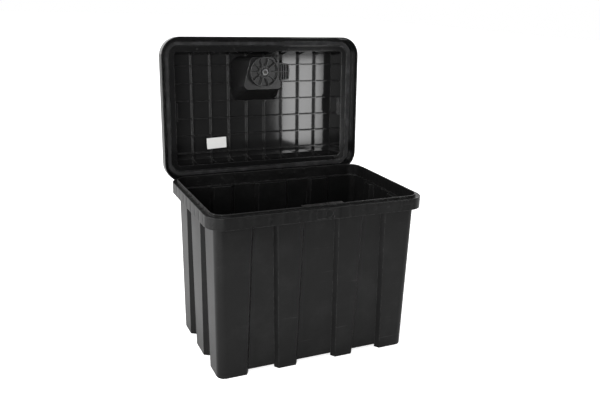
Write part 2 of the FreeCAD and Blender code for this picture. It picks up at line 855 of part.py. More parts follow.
def make_pin(side, label):
    """The steel pin through the three knuckles, with a head at its outer end."""
    body = new_body(label)
    middle = hinge_x(side)
    reach = s.lid_knuckle_length / 2 + s.knuckle_gap + s.knuckle_length
    prism(body, middle - reach, middle + reach, lambda sketch: circle(
        sketch, hinge_y, hinge_z, s.pin_diameter / 2), plane="YZ_Plane")
    head = middle + reach if side > 0 else middle - reach - s.pin_head_height
    prism(body, head, head + s.pin_head_height, lambda sketch: circle(
        sketch, hinge_y, hinge_z, s.pin_head_diameter / 2), plane="YZ_Plane")
    return body


def pan_screw(shank, head, head_height, length):
    """Half profile of a pan-head screw whose head sits on height 0 and whose point is below."""
    edge = head_height * SCREW_HEAD_EDGE
    point = shank * SCREW_POINT
    profile = [(0, -length), (shank, point - length), (shank, 0), (head, 0), (head, edge)]
    profile += [(radius, edge + height) for radius, height in domed(head, head_height - edge)[:-1]]
    profile += [(0, head_height)]
    return profile


def make_leaf_screws(label, face, level):
    """The screws of both hinges' leaves on the tub or on the lid."""
    profile = pan_screw(s.leaf_screw_diameter.value / 2, s.leaf_screw_head.value / 2,
                        s.leaf_screw_head_height.value, s.leaf_screw_length.value)
    screws = []
    for side in (-1, 1):
        for offset in (-1, 1):
            across = hinge_x(side).value + offset * s.leaf_screw_offset.value
            screws.append(turned(profile, Vector(across, face.value, level.value), Vector(0, 1, 0)))
    return feature_part(label, Part.makeCompound(screws))


def make_lid_shell():
    """The lid: skirt, flat land for the seal, raised roof and the grid of ribs inside it."""
    body = new_body("lid_shell")
    inner_x = lid_x - s.lid_wall
    inner_y = lid_y - s.lid_wall
    prism(body, lid_low, shoulder_top, lambda sketch: centred(sketch, lid_x, lid_y, lid_corner))
    wall = s.lid_wall
    loft(
        body, land_level, roof_top,
        lambda sketch: centred(sketch, land_x + wall, land_y + wall, s.roof_corner_low + wall),
        lambda sketch: rectangle(sketch, -ceiling_x - wall, ceiling_x + wall, ceiling_front - wall,
                                 ceiling_back + wall, s.roof_corner_high + wall),
    )
    round_edges(body, s.roof_round, lambda edge: level_edge(edge, roof_top))
    round_edges(body, s.lid_round, lambda edge: level_edge(edge, shoulder_top)
                and reaches(edge, lid_x, lid_y))
    prism(body, lid_low, land_level, lambda sketch: centred(
        sketch, inner_x, inner_y, lid_corner - s.lid_wall), cut=True)
    loft(
        body, land_level, ceiling,
        lambda sketch: centred(sketch, land_x, land_y, s.roof_corner_low),
        lambda sketch: rectangle(sketch, -ceiling_x, ceiling_x, ceiling_front, ceiling_back,
                                 s.roof_corner_high),
        cut=True,
    )
    # Grid of ribs, rooted in the walls
    rib_low = land_level + s.grid_drop
    rib_high = ceiling + s.lid_wall / 2
    half = s.grid_wall / 2
    middle = s.lid_wall / 2
    start = -s.grid_pitch_across * (s.grid_across - 1) / 2
    rib = prism(body, start - half, start + half, lambda sketch: outline(sketch, [
        (-land_y, rib_low), (land_y, rib_low), (ceiling_back + middle, rib_high),
        (ceiling_front - middle, rib_high)]), plane="YZ_Plane")
    row(body, [rib], "X_Axis", s.grid_pitch_across, s.grid_across)
    last = seal_y - s.grid_first
    start = last - s.grid_pitch_along * (s.grid_along - 1)
    rib = prism(body, -start - half, -start + half, lambda sketch: outline(sketch, [
        (-land_x, rib_low), (land_x, rib_low), (ceiling_x + middle, rib_high),
        (-ceiling_x - middle, rib_high)]), plane="XZ_Plane")
    row(body, [rib], "Y_Axis", s.grid_pitch_along, s.grid_along)
    # The space inside, which leaves the ribs low on the roof and thin on the walls
    low_root = s.grid_root_low
    high_root = s.grid_root_high
    loft(
        body, rib_low - s.grid_drop / 2, ceiling - s.grid_height,
        lambda sketch: centred(sketch, land_x - low_root, land_y - low_root, s.roof_corner_low),
        lambda sketch: rectangle(sketch, -ceiling_x + high_root, ceiling_x - high_root,
                                 ceiling_front + high_root, ceiling_back - high_root, s.roof_corner_high),
        cut=True,
    )
    # Two low ribs that keep the seal in place
    seal_half = s.seal_width / 2 + s.seal_gap / 2
    for near, far in ((seal_half, seal_half + s.keep_rib_wall), (-seal_half - s.keep_rib_wall, -seal_half)):
        prism(body, land_level - s.keep_rib_height, land_level + s.lid_wall / 2, lambda sketch: (
            centred(sketch, seal_x + near, seal_y + near, seal_corner + near),
            centred(sketch, seal_x + far, seal_y + far, seal_corner + far)))
    # Pips on the land at the front
    prism(body, land_level - s.pip_height, land_level + s.lid_wall / 2, lambda sketch: [
        circle(sketch, side * across, s.pip_setback - flange_y, s.pip_diameter / 2)
        for side in (-1, 1) for across in (s.pip_inner, s.pip_outer)])
    # Hangers: a low frame on each side wall
    hanger_low = land_level + s.grid_drop
    near = ceiling_x - s.hanger_stand
    half_length = s.hanger_length / 2
    frame = prism(body, hanger_low, hanger_low + s.hanger_height, lambda sketch: rectangle(
        sketch, near, land_x + s.lid_wall / 2, s.hanger_centre - half_length, s.hanger_centre + half_length))
    hollow = prism(body, hanger_low + s.hanger_rib, hanger_low + s.hanger_height - s.hanger_rib,
                   lambda sketch: rectangle(
                       sketch, near - s.hanger_stand, ceiling_x,
                       s.hanger_centre - half_length + s.hanger_rib,
                       s.hanger_centre + half_length - s.hanger_rib), cut=True)
    mirror(body, [frame], "YZ_Plane")
    mirror(body, [hollow], "YZ_Plane")
    # Opening for the latch dish, and bosses for its screws
    prism(body, ceiling - s.boss_height, ceiling + s.lid_wall / 2, lambda sketch: dish_screw_circles(
        sketch, s.boss_diameter / 2))
    prism(body, ceiling - s.grid_height - s.dish_play, roof_top + s.lid_wall, lambda sketch: dish_outline(
        sketch, s.dish_play), cut=True)
    prism(body, roof_top - s.dish_screw_length, roof_top + s.lid_wall, lambda sketch: dish_screw_circles(
        sketch, s.dish_screw_diameter / 2), cut=True)
    # Holes for the hinge screws through the back of the skirt
    prism(body, -lid_y - s.lid_wall, -lid_y + s.lid_wall * 2, leaf_screw_holes(
        s.flange_top + s.lid_screw_rise), cut=True, plane="XZ_Plane")
    return body


def dish_outline(sketch, grow):
    """The outline of the latch dish where it passes through the roof, grown all round."""
    rectangle(sketch, -s.dish_width / 2 - grow, s.dish_width / 2 + grow,
              latch_y - s.dish_front - grow, latch_y + s.dish_back + grow, s.dish_corner + grow)


def dish_screw_points():
    """The places of the six screws round the dish's rim, as pairs of sizes."""
    side = s.dish_width / 2 + s.dish_screw_outset
    back = latch_y + s.dish_back + s.dish_screw_outset
    points = [(way * side, latch_y + along) for way in (-1, 1)
              for along in (s.dish_screw_front, s.dish_screw_middle)]
    return points + [(way * s.dish_screw_back, back) for way in (-1, 1)]


def dish_screw_circles(sketch, radius):
    """Draws a circle at each of the dish's screws."""
    for x, y in dish_screw_points():
        circle(sketch, x, y, radius)


def make_lid_seal():
    """The soft strip under the land that the lip presses on."""
    body = new_body("lid_seal")
    half = s.seal_width / 2
    prism(body, lip_top + s.seal_gap, land_level, lambda sketch: (
        centred(sketch, seal_x + half, seal_y + half, seal_corner + half),
        centred(sketch, seal_x - half, seal_y - half, seal_corner - half)))
    round_edges(body, s.seal_round, lambda edge: level_edge(edge, lip_top + s.seal_gap))
    return body


def make_label():
    """The blank label stuck across a rib inside the lid."""
    label = doc.addObject("Part::Box", "label_blank")
    label.Label = "label_blank"
    parts.append(label)
    for name, size in (("Length", s.label_width), ("Width", s.label_height), ("Height", s.label_wall)):
        label.setExpression(name, size.text)
    level = (ceiling - s.grid_height - s.label_wall).value
    corner = Vector(s.label_across.value, s.label_along.value, level)
    half = Vector(s.label_width.value / 2, s.label_height.value / 2, 0)
    turn = Rotation(Vector(0, 0, 1), s.label_turn.value)
    label.Placement = Placement(corner - half, turn, half)
    return label


def make_dish():
    """The dish let into the roof: a tapered well with a rim outside and a bored floor."""
    body = new_body("latch_dish")
    wall = s.dish_wall

    def floor_outline(sketch, inset):
        front = latch_y - s.dish_floor_front + inset
        back = latch_y + s.dish_floor_back - inset
        front_half = s.dish_floor_front_width / 2 - inset
        back_half = s.dish_floor_back_width / 2 - inset
        outline(sketch, [(-front_half, front), (front_half, front), (back_half, back), (-back_half, back)],
                s.dish_floor_corner - inset)

    loft(body, dish_low, rim_low,
         lambda sketch: floor_outline(sketch, ZERO), lambda sketch: dish_outline(sketch, ZERO))
    prism(body, rim_low, rim_top, lambda sketch: dish_outline(sketch, s.dish_rim_width))
    round_edges(body, s.dish_rim_wall / 2, lambda edge: level_edge(edge, rim_top))
    loft(body, dish_floor, rim_top,
         lambda sketch: floor_outline(sketch, wall), lambda sketch: dish_outline(sketch, -wall), cut=True)
    prism(body, dish_low - wall, dish_floor + wall, lambda sketch: circle(
        sketch, ZERO, latch_y, s.bush_diameter / 2), cut=True)
    prism(body, rim_low - wall, rim_top + wall, lambda sketch: dish_screw_circles(
        sketch, s.dish_screw_diameter / 2), cut=True)
    return body


def make_gasket():
    """The thin gasket between the dish's rim and the roof."""
    body = new_body("dish_gasket")
    prism(body, roof_top, rim_low, lambda sketch: (
        dish_outline(sketch, s.dish_rim_width - s.gasket_wall), dish_outline(sketch, s.dish_play)))
    prism(body, roof_top - s.gasket_wall, rim_low + s.gasket_wall, lambda sketch: dish_screw_circles(
        sketch, s.dish_screw_diameter / 2), cut=True)
    return body


def make_dish_screws():
    """The six screws through the dish's rim into the bosses of the roof."""
    profile = pan_screw(s.dish_screw_diameter.value / 2, s.dish_screw_head.value / 2,
                        s.dish_screw_head_height.value, s.dish_screw_length.value + s.dish_rim_wall.value)
    screws = [turned(profile, Vector(x.value, y.value, rim_top.value), Vector(0, 0, 1))
              for x, y in dish_screw_points()]
    return feature_part("dish_screws", Part.makeCompound(screws))


def upright(body, low, high, radius, cut=False):
    """A cylinder about the latch's axis between two levels."""
    return prism(body, low, high, lambda sketch: circle(sketch, ZERO, latch_y, radius), cut=cut)


def make_bush():
    """The bearing bush in the dish's floor, with a groove for the shaft's ring."""
    body = new_body("latch_bush")
    upright(body, bush_low, dish_floor + s.dish_wall / 2, s.bush_diameter / 2)
    upright(body, dish_floor, bush_top, s.bush_flange_diameter / 2)
    upright(body, bush_low - s.dish_wall, bush_top + s.dish_wall, s.shaft_diameter / 2 + s.shaft_fit, cut=True)
    groove = s.ring_section / 2 + s.shaft_fit
    prism(body, bush_top - s.ring_section, bush_top + s.dish_wall, lambda sketch: (
        circle(sketch, ZERO, latch_y, s.ring_radius + groove),
        circle(sketch, ZERO, latch_y, s.ring_radius - groove)), cut=True)
    return body


def make_shaft_ring():
    """The rubber ring that keeps water out between bush and handle."""
    ring_part = doc.addObject("Part::Torus", "shaft_ring")
    ring_part.Label = "shaft_ring"
    parts.append(ring_part)
    ring_part.setExpression("Radius1", s.ring_radius.text)
    ring_part.setExpression("Radius2", (s.ring_section / 2).text)
    ring_part.Placement.Base = Vector(0, latch_y.value, (bush_top - s.ring_section / 2).value)
    return ring_part


def square(body, low, high, side, cut=False):
    """A square bar about the latch's axis between two levels."""
    return prism(body, low, high, lambda sketch: rectangle(
        sketch, -side / 2, side / 2, latch_y - side / 2, latch_y + side / 2), cut=cut)


def make_shaft():
    """The steel shaft: square in the handle, round in the bush, square in the cam, then a thread."""
    body = new_body("latch_shaft")
    nut_seat = cam_low + s.cam_web
    square(body, handle_low, handle_low + s.handle_socket, s.square_side)
    upright(body, cam_top, handle_low, s.shaft_diameter / 2)
    square(body, nut_seat, cam_top, s.square_side)
    upright(body, nut_seat - s.nut_height - s.thread_end, nut_seat, s.thread_diameter / 2)
    return body


def make_handle():
    """The handle: a round hub with a tapered lever, hollow round the lock barrel."""
    body = new_body("latch_handle")
    upright(body, handle_low, handle_top, s.handle_hub_diameter / 2)
    prism(body, lever_low, lever_high, lambda sketch: outline(sketch, [
        (ZERO, latch_y - s.handle_width / 2),
        (ZERO, latch_y + s.handle_width / 2),
        (-lever_reach, latch_y + s.handle_tip_width / 2),
        (-lever_reach, latch_y - s.handle_tip_width / 2),
    ], s.handle_tip_round))
    round_edges(body, s.handle_round, lambda edge: level_edge(edge, handle_top))
    square(body, handle_low - s.handle_round, handle_low + s.handle_socket, s.square_side + s.square_fit * 2,
           cut=True)
    upright(body, handle_top - s.barrel_length, handle_top + s.handle_round, s.barrel_diameter / 2, cut=True)
    prism(body, handle_top - s.cap_pin_depth, handle_top + s.handle_round, lambda sketch: circle(
        sketch, ZERO, latch_y + s.cap_pivot, s.cap_pin_diameter / 2), cut=True)
    return body


def make_barrel():
    """The lock barrel pressed into the top of the handle."""
    body = new_body("lock_barrel")
    upright(body, handle_top - s.barrel_length, handle_top, s.barrel_diameter / 2)
    upright(body, handle_top, handle_top + s.barrel_flange_wall, s.barrel_flange_diameter / 2)
    upright(body, handle_top + s.barrel_flange_wall - s.plug_length, handle_top + s.barrel_length,
            s.plug_diameter / 2 + s.plug_fit, cut=True)
    return body


def make_plug():
    """The turning plug of the lock, with its key slot."""
    body = new_body("key_plug")
    top = handle_top + s.barrel_flange_wall
    upright(body, top - s.plug_length, top, s.plug_diameter / 2)
    prism(body, top - s.key_slot_depth, top + s.key_slot_width, lambda sketch: rectangle(
        sketch, -s.key_slot_length / 2, s.key_slot_length / 2,
        latch_y - s.key_slot_width / 2, latch_y + s.key_slot_width / 2), cut=True)
    return body


def make_cap():
    """The dust cap over the key hole, which swings aside on its pin."""
    body = new_body("dust_cap")
    low = handle_top + s.barrel_flange_wall + s.cap_gap
    high = low + s.cap_wall
    pivot = latch_y + s.cap_pivot
    ear = s.cap_pin_head / 2 + s.cap_gap * 2
    upright(body, low, high, s.cap_diameter / 2)
    prism(body, low, high, lambda sketch: circle(sketch, ZERO, pivot, ear))
    prism(body, low, high, lambda sketch: rectangle(sketch, -ear, ear, latch_y + ear, pivot))
    prism(body, low - s.cap_wall, high + s.cap_wall, lambda sketch: circle(
        sketch, ZERO, pivot, s.cap_pin_diameter / 2 + s.plug_fit), cut=True)
    return body


def make_cap_pin():
    """The pin that the dust cap swings on, standing in the handle."""
    body = new_body("dust_cap_pin")
    pivot = latch_y + s.cap_pivot
    cap_low = handle_top + s.barrel_flange_wall + s.cap_gap
    cap_high = cap_low + s.cap_wall + s.cap_gap
    prism(body, handle_top - s.cap_pin_depth, cap_high, lambda sketch: circle(
        sketch, ZERO, pivot, s.cap_pin_diameter / 2))
    prism(body, cap_high, cap_high + s.cap_pin_head_height, lambda sketch: circle(
        sketch, ZERO, pivot, s.cap_pin_head / 2))
    prism(body, handle_top, cap_low - s.cap_gap, lambda sketch: circle(
        sketch, ZERO, pivot, s.cap_pin_head / 2))
    return body


def make_cam():
    """The ribbed drum inside the lid, with the arm that slides under the keeper."""
    body = new_body("latch_cam")
    upright(body, cam_low, cam_top, s.cam_radius)
    root_half = s.arm_root_width / 2
    nose_half = s.arm_nose_width / 2
    arm = prism(body, cam_low, cam_top, lambda sketch: outline(sketch, [
        (ZERO, latch_y - root_half),
        (s.arm_reach + s.cam_rim, latch_y - nose_half),
        (s.arm_reach + s.cam_rim, latch_y + nose_half),
        (ZERO, latch_y + root_half),
    ]))
    # The nose is an arc about the axis, so it clears the lip as it turns
    prism(body, cam_low - s.cam_rim, cam_top + s.cam_rim, lambda sketch: (
        circle(sketch, ZERO, latch_y, s.arm_reach * 1.5),
        circle(sketch, ZERO, latch_y, s.arm_reach)), cut=True)
    # Pockets of the drum and the arm, which leave a web, a rim and a hub
    pocket_top = cam_top - s.cam_web
    prism(body, cam_low - s.cam_rim, pocket_top, lambda sketch: (
        circle(sketch, ZERO, latch_y, s.cam_radius - s.cam_rim),
        circle(sketch, ZERO, latch_y, s.hub_radius)), cut=True)
    near = s.cam_radius
    far = s.arm_reach - s.arm_end_wall
    slope = (root_half - nose_half) / (s.arm_reach + s.cam_rim)
    near_half = root_half - slope * near - s.arm_side_wall
    far_half = root_half - slope * far - s.arm_side_wall
    prism(body, cam_low - s.cam_rim, pocket_top, lambda sketch: outline(sketch, [
        (near, latch_y - near_half),
        (far, latch_y - far_half),
        (far, latch_y + far_half),
        (near, latch_y + near_half),
    ]), cut=True)
    # Radial ribs of the drum
    half = s.cam_rib / 2
    rib = prism(body, cam_low, pocket_top + s.cam_web / 2, lambda sketch: rectangle(
        sketch, s.hub_radius - half, s.cam_radius - half, latch_y - half, latch_y + half))
    spin(body, rib, s.cam_ribs)
    # Cross ribs and a long rib in the arm
    step = (far - near) / (s.arm_ribs + 1)
    cross = prism(body, cam_low, pocket_top + s.cam_web / 2, lambda sketch: rectangle(
        sketch, near + step - half, near + step + half, latch_y - far_half - half, latch_y + far_half + half))
    row(body, [cross], "X_Axis", step, s.arm_ribs)
    prism(body, cam_low, pocket_top + s.cam_web / 2, lambda sketch: rectangle(
        sketch, near - half, far + half, latch_y - half, latch_y + half))
    # Hub: a recess for the nut and a square hole for the shaft
    upright(body, cam_low - s.cam_rim, cam_low + s.cam_web, s.hub_bore_radius, cut=True)
    square(body, cam_low - s.cam_rim, cam_top + s.cam_rim, s.square_side + s.square_fit * 2, cut=True)
    return body


def spin(body, feature, count):
    """Repeats a feature of the cam about the latch's axis."""
    axis = body.newObject("Sketcher::SketchObject", "AxisSketch")
    axis.AttachmentSupport = [(origin_feature(body, "XY_Plane"), "")]
    axis.MapMode = "FlatFace"
    axis.setExpression("AttachmentOffset.Base.y", latch_y.text)
    pattern = body.newObject("PartDesign::PolarPattern", "Spin")
    pattern.Originals = [feature]
    pattern.Axis = (axis, ["N_Axis"])
    pattern.Angle = 360
    pattern.setExpression("Occurrences", count.text)
    body.Tip = pattern
    return pattern


def make_washer():
    """The thrust washer between cam and bush."""
    body = new_body("cam_washer")
    upright(body, cam_top, cam_top + s.washer_wall, s.washer_diameter / 2)
    upright(body, cam_top - s.washer_wall, cam_top + s.washer_wall * 2, s.shaft_diameter / 2 + s.shaft_fit,
            cut=True)
    return body


def make_nut():
    """The six-sided nut that holds the cam on the shaft."""
    body = new_body("cam_nut")
    seat = cam_low + s.cam_web
    corner = s.nut_flats / math.sqrt(3)
    prism(body, seat - s.nut_height, seat, lambda sketch: outline(sketch, [
        (corner * round(math.cos(math.radians(60 * i)), 9),
         latch_y + corner * round(math.sin(math.radians(60 * i)), 9)) for i in range(6)]))
    upright(body, seat - s.nut_height * 2, seat + s.nut_height, s.thread_diameter / 2, cut=True)
    return body


def finish():
    """Recomputes and stops on any object that failed."""
    doc.recompute()
    for item in doc.Objects:
        if "Invalid" in item.State or "Error" in item.State:
            raise RuntimeError(f"{item.Label} ({item.Name}) failed: {item.State}")


make_tub_shell()
make_keeper()
make_keeper_rivets()
for hinge_side, hinge_name in ((-1, "left"), (1, "right")):
    make_tub_leaf(hinge_side, f"hinge_leaf_tub_{hinge_name}")
    swing_open(make_lid_leaf(hinge_side, f"hinge_leaf_lid_{hinge_name}"))
    make_pin(hinge_side, f"hinge_pin_{hinge_name}")
make_leaf_screws("hinge_screws_tub", flange_y + s.leaf_wall, s.flange_top - s.tub_screw_drop)
swing_open(make_leaf_screws("hinge_screws_lid", lid_y + s.leaf_wall, s.flange_top + s.lid_screw_rise))
for make in (make_lid_shell, make_lid_seal, make_label, make_dish, make_gasket, make_dish_screws, make_bush,
             make_shaft_ring, make_shaft, make_handle, make_barrel, make_plug, make_cap, make_cap_pin,
             make_cam, make_washer, make_nut):
    swing_open(make())
finish()
os.makedirs("parts", exist_ok=True)
for part in parts:
    if part.Shape.isNull() or not part.Shape.isValid():
        raise RuntimeError(f"{part.Label} has no valid shape")
    part.Shape.exportStep(f"parts/{part.Label}.step")
    box = part.Shape.BoundBox
    print(part.Label, len(part.Shape.Solids), round(part.Shape.Volume), round(box.XMin, 1), round(box.XMax, 1),
          round(box.YMin, 1), round(box.YMax, 1), round(box.ZMin, 1), round(box.ZMax, 1))
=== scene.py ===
# %% [markdown]
# An open storage box in black moulded plastic
#
# The solids of the box come from its CAD model and keep their shape and place. This script gives them
# their finish, adds the small pieces that the CAD keeps plain, and lights them as in a bright studio.

# %% Load the box
import json
import math

import bmesh
import bpy
from mathutils import Matrix, Vector


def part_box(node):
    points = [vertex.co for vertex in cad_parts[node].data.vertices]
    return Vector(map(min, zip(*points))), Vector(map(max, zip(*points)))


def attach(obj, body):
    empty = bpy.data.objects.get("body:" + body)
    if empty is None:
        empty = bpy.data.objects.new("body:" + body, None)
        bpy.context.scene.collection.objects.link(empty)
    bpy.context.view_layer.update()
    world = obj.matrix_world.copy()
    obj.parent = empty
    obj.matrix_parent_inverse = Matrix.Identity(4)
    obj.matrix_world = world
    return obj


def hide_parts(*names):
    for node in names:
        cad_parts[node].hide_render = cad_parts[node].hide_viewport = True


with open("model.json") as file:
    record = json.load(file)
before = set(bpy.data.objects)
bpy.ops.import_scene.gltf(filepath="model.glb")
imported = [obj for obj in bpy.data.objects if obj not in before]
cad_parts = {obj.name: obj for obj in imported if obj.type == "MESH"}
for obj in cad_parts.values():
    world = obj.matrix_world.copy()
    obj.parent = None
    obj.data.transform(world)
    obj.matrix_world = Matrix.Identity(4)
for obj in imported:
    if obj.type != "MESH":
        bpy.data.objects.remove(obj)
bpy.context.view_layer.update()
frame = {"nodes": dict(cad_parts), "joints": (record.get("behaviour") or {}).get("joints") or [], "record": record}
nodes = frame["nodes"]

# %% [markdown]
# The camera stands to the left of the box and looks a little down on it. Its place was found by lining up
# the rim and the feet of the box with the same edges in a photograph, so it is written here as numbers: a
# place, three angles, a focal length, and a small shift of the picture. A camera looks along its own -Z,
# so the three directions make the columns of a matrix.

# %% Camera
CAMERA_PLACE = Vector((-0.7260, -1.6564, 0.9469))
CAMERA_YAW = math.radians(24.81)
CAMERA_PITCH = math.radians(16.28)
CAMERA_ROLL = math.radians(1.85)
PICTURE_WIDTH = 600
FOCAL_PIXELS = 684.3
SHIFT_PIXELS = (7.5, -4.6)


def camera_turn(yaw, pitch, roll):
    """The rotation of a camera that faces +Y, turned right by yaw, down by pitch and tilted by roll."""
    forward = Vector((math.sin(yaw) * math.cos(pitch), math.cos(yaw) * math.cos(pitch), -math.sin(pitch)))
    level_right = Vector((math.cos(yaw), -math.sin(yaw), 0))
    level_up = level_right.cross(forward)
    right = level_right * math.cos(roll) + level_up * math.sin(roll)
    up = level_up * math.cos(roll) - level_right * math.sin(roll)
    return Matrix((right, up, -forward)).transposed().to_4x4()


lens = bpy.data.cameras.new("camera")
lens.sensor_width = 36
lens.lens = FOCAL_PIXELS * lens.sensor_width / PICTURE_WIDTH
lens.shift_x = -SHIFT_PIXELS[0] / PICTURE_WIDTH
lens.shift_y = SHIFT_PIXELS[1] / PICTURE_WIDTH
camera = bpy.data.objects.new("camera", lens)
camera.matrix_world = Matrix.Translation(CAMERA_PLACE) @ camera_turn(CAMERA_YAW, CAMERA_PITCH, CAMERA_ROLL)
bpy.context.scene.collection.objects.link(camera)
bpy.context.scene.camera = camera
print("lens in mm:", round(lens.lens, 2))

# %% [markdown]
# Black plastic shows its surroundings more than its own colour, so the studio decides how it looks. A white
# floor runs back into a white background, and ends a little in front of the box. The background is the
# world: the camera sees it white, and the plastic mirrors it white at the back and dim in front, as in a
# real studio with the room behind the camera dark. Four soft lamps do the rest: a tall one on the left
# that makes the end walls shine, a small one in front on the right that shows as a pale gloss in one half
# of the lid, one near the camera that no front face mirrors, and a large one above.

# %% Studio
FLOOR_HALF = 14.0
FLOOR_FRONT = -1.17
FLOOR_WHITE = 0.93
FLOOR_NEAR = 0.72
FLOOR_FAR = 1.0
FLOOR_MIRRORED = 0.1
GLOW_START = 0.7
GLOW_END = 2.2
ROOM_FRONT = 0.14
ROOM_BACK = 1.25
ROOM_TURN = (-0.1, 0.5)


def node_tree(material):
    """An emptied node tree of a material or a world, ready for new nodes."""
    material.use_nodes = True
    material.node_tree.nodes.clear()
    return material.node_tree


def add(tree, kind, inputs=None, **settings):
    """A new node with its settings, and with plain values or links for its inputs."""
    node = tree.nodes.new(kind)
    for name, value in settings.items():
        setattr(node, name, value)
    for key, value in (inputs or {}).items():
        if isinstance(value, bpy.types.NodeSocket):
            tree.links.new(value, node.inputs[key])
        else:
            node.inputs[key].default_value = value
    return node


def math_node(tree, operation, first, second=0.0, clamp=False):
    """The output of a Math node."""
    return add(tree, "ShaderNodeMath", {0: first, 1: second}, operation=operation, use_clamp=clamp).outputs[0]


def make_floor():
    """The white floor, with a little light of its own so that it runs into the background."""
    shape = bmesh.new()
    bmesh.ops.create_grid(shape, x_segments=1, y_segments=1, size=FLOOR_HALF)
    bmesh.ops.translate(shape, verts=shape.verts, vec=(0, FLOOR_HALF + FLOOR_FRONT, 0))
    mesh = bpy.data.meshes.new("floor")
    shape.to_mesh(mesh)
    shape.free()
    floor = bpy.data.objects.new("floor", mesh)
    bpy.context.scene.collection.objects.link(floor)
    material = bpy.data.materials.new("studio floor")
    tree = node_tree(material)
    surface = add(tree, "ShaderNodeBsdfPrincipled", {
        "Base Color": (FLOOR_WHITE, FLOOR_WHITE, FLOOR_WHITE, 1), "Roughness": 0.9,
        "Emission Color": (1, 1, 1, 1), "Specular IOR Level": 0.0})
    place = add(tree, "ShaderNodeTexCoord").outputs["Object"]
    away = add(tree, "ShaderNodeVectorMath", {0: place}, operation="LENGTH").outputs["Value"]
    glow = add(tree, "ShaderNodeMapRange", {
        "Value": away, "From Min": GLOW_START, "From Max": GLOW_END,
        "To Min": FLOOR_NEAR, "To Max": FLOOR_FAR}).outputs[0]
    path = add(tree, "ShaderNodeLightPath")
    mirrored = math_node(tree, "MULTIPLY", path.outputs["Is Glossy Ray"], FLOOR_MIRRORED)
    seen = math_node(tree, "MAXIMUM", path.outputs["Is Camera Ray"], mirrored)
    lift = math_node(tree, "MULTIPLY", seen, glow)
    tree.links.new(lift, surface.inputs["Emission Strength"])
    add(tree, "ShaderNodeOutputMaterial", {"Surface": surface.outputs[0]})
    mesh.materials.append(material)


def make_world():
    """White to the camera; to everything else bright at the back and dim in front."""
    world = bpy.data.worlds.new("studio")
    tree = node_tree(world)
    direct = add(tree, "ShaderNodeLightPath").outputs["Is Camera Ray"]
    way = add(tree, "ShaderNodeTexCoord").outputs["Generated"]
    back = add(tree, "ShaderNodeSeparateXYZ", {0: way}).outputs["Y"]
    room = add(tree, "ShaderNodeMapRange", {
        "Value": back, "From Min": ROOM_TURN[0], "From Max": ROOM_TURN[1],
        "To Min": ROOM_FRONT, "To Max": ROOM_BACK}).outputs[0]
    strength = add(tree, "ShaderNodeMix", {"Factor": direct, "A": room, "B": 1.0}).outputs[0]
    light = add(tree, "ShaderNodeBackground", {"Color": (1, 1, 1, 1), "Strength": strength})
    add(tree, "ShaderNodeOutputWorld", {"Surface": light.outputs[0]})
    bpy.context.scene.world = world


def soft_lamp(name, place, target, width, height, power):
    """A rectangular lamp that faces a target."""
    lamp = bpy.data.lights.new(name, "AREA")
    lamp.shape = "RECTANGLE"
    lamp.size = width
    lamp.size_y = height
    lamp.energy = power
    piece = bpy.data.objects.new(name, lamp)
    aim = (Vector(target) - Vector(place)).to_track_quat("-Z", "Y").to_matrix().to_4x4()
    piece.matrix_world = Matrix.Translation(place) @ aim
    piece.visible_camera = False
    bpy.context.scene.collection.objects.link(piece)


bpy.context.scene.view_settings.view_transform = "Standard"
make_floor()
make_world()
soft_lamp("left lamp", (-2.6, 0.15, 0.9), (0, 0.15, 0.45), 1.2, 1.8, 44)
soft_lamp("right lamp", (1.07, -1.75, 0.48), (0.17, 0.32, 0.63), 0.27, 0.55, 5.2)
soft_lamp("near lamp", (-1.55, -2.35, 1.0), (0, 0.2, 0.5), 1.5, 1.9, 58)
soft_lamp("top lamp", (0.2, -0.3, 3.0), (0, 0, 0.3), 2.4, 2.4, 28)
print("lamps:", len(bpy.data.lights), "floor ends at", FLOOR_FRONT)

# %% [markdown]
# Every plastic piece here shares three effects, and each one is a node group that is built once. The first
# is the grain of the mould: a fine leathery roughness that the steel tool leaves on the plastic. Fine noise
# carries the grain, and a slower noise makes it stronger in some places than in others. The group puts out
# a height, and the material's own Bump node turns it into a shading normal.

# %% Grain of the mould
def new_group(name, inputs, outputs):
    """An empty shader node group: inputs maps names to default numbers, outputs names to socket kinds."""
    group = bpy.data.node_groups.new(name, "ShaderNodeTree")
    for label, value in inputs.items():
        socket = group.interface.new_socket(label, in_out="INPUT", socket_type="NodeSocketFloat")
        socket.default_value = value
    for label, kind in outputs.items():
        group.interface.new_socket(label, in_out="OUTPUT", socket_type=kind)
    return group, group.nodes.new("NodeGroupInput"), group.nodes.new("NodeGroupOutput")


def noise(tree, place, scale, detail=3.0, roughness=0.55):
    """The grey value of a noise texture at a place."""
    return add(tree, "ShaderNodeTexNoise", {
        "Vector": place, "Scale": scale, "Detail": detail, "Roughness": roughness}).outputs[0]


def between(tree, value, low, high):
    """A value stretched so that low becomes 0 and high becomes 1, softly, and clamped there."""
    return add(tree, "ShaderNodeMapRange", {
        "Value": value, "From Min": low, "From Max": high}, interpolation_type="SMOOTHSTEP").outputs[0]


def grain_group():
    """Height of the mould's grain."""
    group, given, result = new_group(
        "mould grain", {"Scale": 900.0, "Patchiness": 0.4}, {"Height": "NodeSocketFloat"})
    place = add(group, "ShaderNodeTexCoord").outputs["Object"]
    fine = noise(group, place, given.outputs["Scale"], 2.0)
    cells = add(group, "ShaderNodeTexVoronoi", {
        "Vector": place, "Scale": math_node(group, "MULTIPLY", given.outputs["Scale"], 0.7)}).outputs[0]
    mixed = math_node(group, "ADD", fine, math_node(group, "MULTIPLY", cells, 0.6))
    level = math_node(group, "SUBTRACT", mixed, 0.8)
    patches = between(group, noise(group, place, 7.0), 0.35, 0.7)
    weaker = math_node(group, "MULTIPLY", patches, given.outputs["Patchiness"])
    strength = math_node(group, "SUBTRACT", 1.0, weaker)
    group.links.new(math_node(group, "MULTIPLY", level, strength), result.inputs["Height"])
    return group


